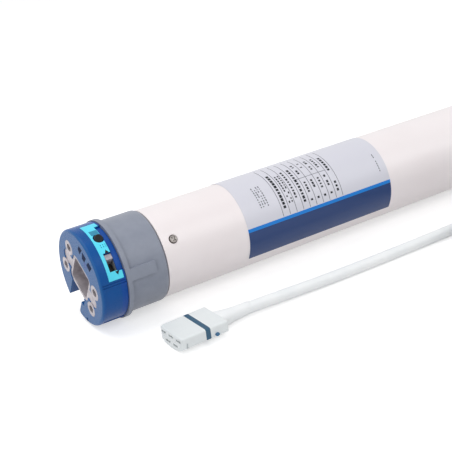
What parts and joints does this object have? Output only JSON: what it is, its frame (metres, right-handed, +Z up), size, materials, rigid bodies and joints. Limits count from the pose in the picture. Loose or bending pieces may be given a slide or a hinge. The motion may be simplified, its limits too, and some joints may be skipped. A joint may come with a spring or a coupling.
{
  "type": "tubular roller blind motor",
  "caption": "Tubular drive for a roller blind: blue head with switches and screw face, free crown, long coated tube, keyed drive wheel, unplugged mains cable.",
  "frame": {"origin": "middle of the motor's length, on the surface it lies on, under its axis", "axes": "+X along the motor from its head to its output end, +Z up; the cable lies on the -Y side"},
  "size_m": [0.6718, 0.2064, 0.0636],
  "materials": {
    "zinc_insert": "satin die-cast zinc",
    "blue_shell": "moulded, semi-gloss",
    "cyan_label": "printed film",
    "board_green": "solder-resist",
    "black_plastic": "moulded",
    "button_plastic": "moulded, satin",
    "knob_plastic": "moulded, satin",
    "bay_plastic": "moulded",
    "contact_metal": "tinned brass",
    "core_plastic": "glass-filled, moulded",
    "crown_plastic": "moulded",
    "gear_plastic": "moulded acetal",
    "tube_enamel": "powder-coated steel",
    "screw_steel": "zinc-plated",
    "label_film": "printed film",
    "relay_plastic": "moulded",
    "transformer_core": "varnished laminations",
    "capacitor_can": "drawn",
    "terminal_plastic": "moulded",
    "collar_rubber": "moulded",
    "shield_metal": "die-cast",
    "bearing_steel": "ground",
    "lamination_steel": "stamped stack",
    "winding_copper": "enamelled copper",
    "shaft_steel": "ground",
    "brake_steel": "phosphated",
    "friction_disc": "bonded lining",
    "gear_steel": "sintered",
    "cap_zinc": "die-cast zinc",
    "bush_bronze": "sintered bronze",
    "plug_plastic": "moulded",
    "stud_plastic": "moulded",
    "cable_sheath": "extruded PVC, matt",
    "tie_plastic": "moulded nylon"
  },
  "bodies": {
    "motor": {"torque_insert": "zinc_insert", "head_cover": "blue_shell", "switch_label": "cyan_label", "switch_board": "board_green", "switch_bodies": "black_plastic", "connector_block": "bay_plastic", "contact_blades": "contact_metal", "head_core": "core_plastic", "motor_tube": "tube_enamel", "tube_screws": "screw_steel", "type_label": "label_film", "electronics_carrier": "black_plastic", "control_board": "board_green", "relays": "relay_plastic", "power_transformer": "transformer_core", "smoothing_capacitors": "capacitor_can", "terminal_block": "terminal_plastic", "radio_module": "board_green", "antenna_wire": "contact_metal", "run_capacitor": "capacitor_can", "capacitor_collars": "collar_rubber", "end_shields": "shield_metal", "rotor_bearings": "bearing_steel", "stator_core": "lamination_steel", "stator_windings": "winding_copper", "brake_magnet": "brake_steel", "brake_spring": "screw_steel", "brake_plate": "brake_steel", "ring_gear": "gear_steel", "gearbox_cap": "cap_zinc", "output_bush": "bush_bronze", "plug_body": "plug_plastic", "plug_contacts": "contact_metal", "plug_coding_stud": "stud_plastic", "cable": "cable_sheath", "cable_coil": "cable_sheath", "core_ends": "winding_copper", "coil_tie": "tie_plastic"},
    "crown": {"running_crown": "crown_plastic"},
    "pinion": {"encoder_pinion": "gear_plastic"},
    "rotor": {"rotor_core": "lamination_steel", "motor_shaft": "shaft_steel", "brake_disc": "friction_disc"},
    "armature": {"brake_armature": "brake_steel"},
    "first_carrier": {"carrier_1": "gear_steel"},
    "second_carrier": {"carrier_2": "gear_steel"},
    "output": {"output_shaft": "shaft_steel", "drive_wheel": "crown_plastic", "wheel_clip": "screw_steel"},
    "button": {"program_button": "button_plastic"},
    "knob": {"direction_knob": "knob_plastic"},
    "planet_1_1": {"planet_1_1": "gear_plastic"},
    "planet_1_2": {"planet_1_2": "gear_plastic"},
    "planet_1_3": {"planet_1_3": "gear_plastic"},
    "planet_2_1": {"planet_2_1": "gear_steel"},
    "planet_2_2": {"planet_2_2": "gear_steel"},
    "planet_2_3": {"planet_2_3": "gear_steel"},
    "planet_3_1": {"planet_3_1": "gear_steel"},
    "planet_3_2": {"planet_3_2": "gear_steel"},
    "planet_3_3": {"planet_3_3": "gear_steel"}
  },
  "joints": [
    {"name": "crown_spin", "type": "hinge", "parent": "motor", "child": "crown", "pos_m": [-0.30385, 0, 0.0318], "axis": [1, 0, 0], "continuous": true},
    {"name": "pinion_spin", "type": "hinge", "parent": "motor", "child": "pinion", "pos_m": [-0.31185, -0.01559, 0.0408], "axis": [1, 0, 0], "continuous": true},
    {"name": "rotor_spin", "type": "hinge", "parent": "motor", "child": "rotor", "pos_m": [0.08315, 0, 0.0318], "axis": [1, 0, 0], "continuous": true},
    {"name": "first_carrier_spin", "type": "hinge", "parent": "motor", "child": "first_carrier", "pos_m": [0.22515, 0, 0.0318], "axis": [1, 0, 0], "continuous": true},
    {"name": "second_carrier_spin", "type": "hinge", "parent": "motor", "child": "second_carrier", "pos_m": [0.24715, 0, 0.0318], "axis": [1, 0, 0], "continuous": true},
    {"name": "output_spin", "type": "hinge", "parent": "motor", "child": "output", "pos_m": [0.30415, 0, 0.0318], "axis": [1, 0, 0], "continuous": true},
    {"name": "planet_1_1_spin", "type": "hinge", "parent": "first_carrier", "child": "planet_1_1", "pos_m": [0.21815, 0, 0.0462], "axis": [1, 0, 0], "continuous": true},
    {"name": "planet_1_2_spin", "type": "hinge", "parent": "first_carrier", "child": "planet_1_2", "pos_m": [0.21815, -0.01247, 0.0246], "axis": [1, 0, 0], "continuous": true},
    {"name": "planet_1_3_spin", "type": "hinge", "parent": "first_carrier", "child": "planet_1_3", "pos_m": [0.21815, 0.01247, 0.0246], "axis": [1, 0, 0], "continuous": true},
    {"name": "planet_2_1_spin", "type": "hinge", "parent": "second_carrier", "child": "planet_2_1", "pos_m": [0.23615, 0, 0.0462], "axis": [1, 0, 0], "continuous": true},
    {"name": "planet_2_2_spin", "type": "hinge", "parent": "second_carrier", "child": "planet_2_2", "pos_m": [0.23615, -0.01247, 0.0246], "axis": [1, 0, 0], "continuous": true},
    {"name": "planet_2_3_spin", "type": "hinge", "parent": "second_carrier", "child": "planet_2_3", "pos_m": [0.23615, 0.01247, 0.0246], "axis": [1, 0, 0], "continuous": true},
    {"name": "planet_3_1_spin", "type": "hinge", "parent": "output", "child": "planet_3_1", "pos_m": [0.26415, 0, 0.0462], "axis": [1, 0, 0], "continuous": true},
    {"name": "planet_3_2_spin", "type": "hinge", "parent": "output", "child": "planet_3_2", "pos_m": [0.26415, -0.01247, 0.0246], "axis": [1, 0, 0], "continuous": true},
    {"name": "planet_3_3_spin", "type": "hinge", "parent": "output", "child": "planet_3_3", "pos_m": [0.26415, 0.01247, 0.0246], "axis": [1, 0, 0], "continuous": true},
    {"name": "button_press", "type": "slide", "parent": "motor", "child": "button", "axis": [0, 0.6691, -0.7431], "range_m": [0, 0.0008], "stiffness_N_per_m": 1500, "springref_m": -0.0004},
    {"name": "knob_slide", "type": "slide", "parent": "motor", "child": "knob", "axis": [0, -0.7431, -0.6691], "range_m": [0, 0.0068]},
    {"name": "armature_slide", "type": "slide", "parent": "motor", "child": "armature", "axis": [-1, 0, 0], "range_m": [0, 0.00035], "stiffness_N_per_m": 5000, "springref_m": -0.002, "deforming": ["brake_spring"]}
  ],
  "couplings": [
    {"joint": "pinion_spin", "follows": "crown_spin", "ratio": 4},
    {"joint": "first_carrier_spin", "follows": "rotor_spin", "ratio": 0.16667},
    {"joint": "second_carrier_spin", "follows": "rotor_spin", "ratio": 0.027778},
    {"joint": "output_spin", "follows": "rotor_spin", "ratio": 0.0046296},
    {"joint": "planet_1_1_spin", "follows": "rotor_spin", "ratio": -0.41667},
    {"joint": "planet_1_2_spin", "follows": "rotor_spin", "ratio": -0.41667},
    {"joint": "planet_1_3_spin", "follows": "rotor_spin", "ratio": -0.41667},
    {"joint": "planet_2_1_spin", "follows": "rotor_spin", "ratio": -0.069444},
    {"joint": "planet_2_2_spin", "follows": "rotor_spin", "ratio": -0.069444},
    {"joint": "planet_2_3_spin", "follows": "rotor_spin", "ratio": -0.069444},
    {"joint": "planet_3_1_spin", "follows": "rotor_spin", "ratio": -0.011574},
    {"joint": "planet_3_2_spin", "follows": "rotor_spin", "ratio": -0.011574},
    {"joint": "planet_3_3_spin", "follows": "rotor_spin", "ratio": -0.011574}
  ]
}
